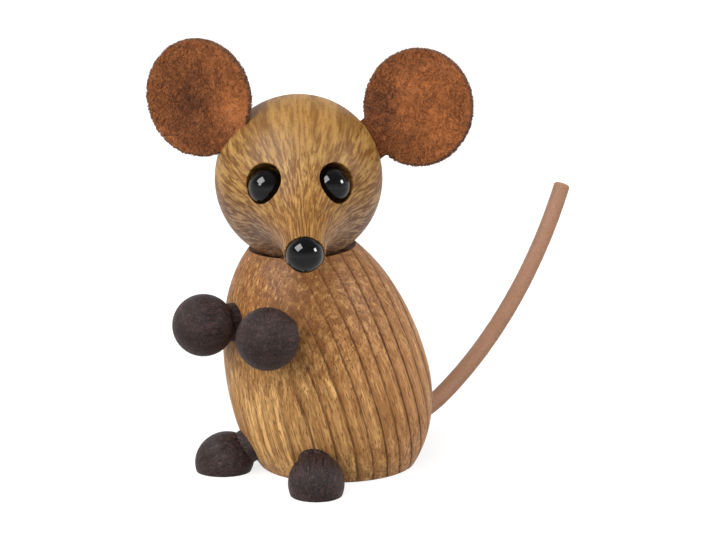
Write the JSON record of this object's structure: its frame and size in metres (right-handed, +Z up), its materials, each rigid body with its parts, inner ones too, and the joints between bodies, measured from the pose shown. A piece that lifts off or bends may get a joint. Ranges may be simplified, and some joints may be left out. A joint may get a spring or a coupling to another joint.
{
  "type": "mouse figurine",
  "caption": "Turned wooden mouse figurine sitting upright, with suede ears, bead eyes and nose, a leather tail and a head that swivels on a dowel.",
  "frame": {"origin": "on the floor, where the leaning axis that the body is turned on meets the flat base", "axes": "+Z up, -Y out of the mouse's belly, +X to the mouse's left; the tail runs back along +Y"},
  "size_m": [0.0561, 0.1183, 0.0933],
  "materials": {
    "body_oak": "oiled oak, satin, grain along the leaning body",
    "head_oak": "oiled oak, satin, grain along the snout",
    "dowel_wood": "plain beech, matt",
    "dark_wood": "smoked oak, satin, near black",
    "ear_suede": "reddish-brown suede, matt with a short nap",
    "black_bead": "gloss black",
    "tail_leather": "natural tan, matt"
  },
  "bodies": {
    "body": {"body": "body_oak", "left_hand": "dark_wood", "right_hand": "dark_wood", "left_foot": "dark_wood", "right_foot": "dark_wood", "tail": "tail_leather"},
    "head": {"head": "head_oak", "neck_dowel": "dowel_wood", "left_ear": "ear_suede", "right_ear": "ear_suede", "left_eye": "black_bead", "right_eye": "black_bead", "nose": "black_bead"}
  },
  "joints": [
    {"name": "head_swivel", "type": "hinge", "parent": "body", "child": "head", "pos_m": [0, -0.0161, 0.0464], "axis": [0, 0, 1], "continuous": true}
  ]
}
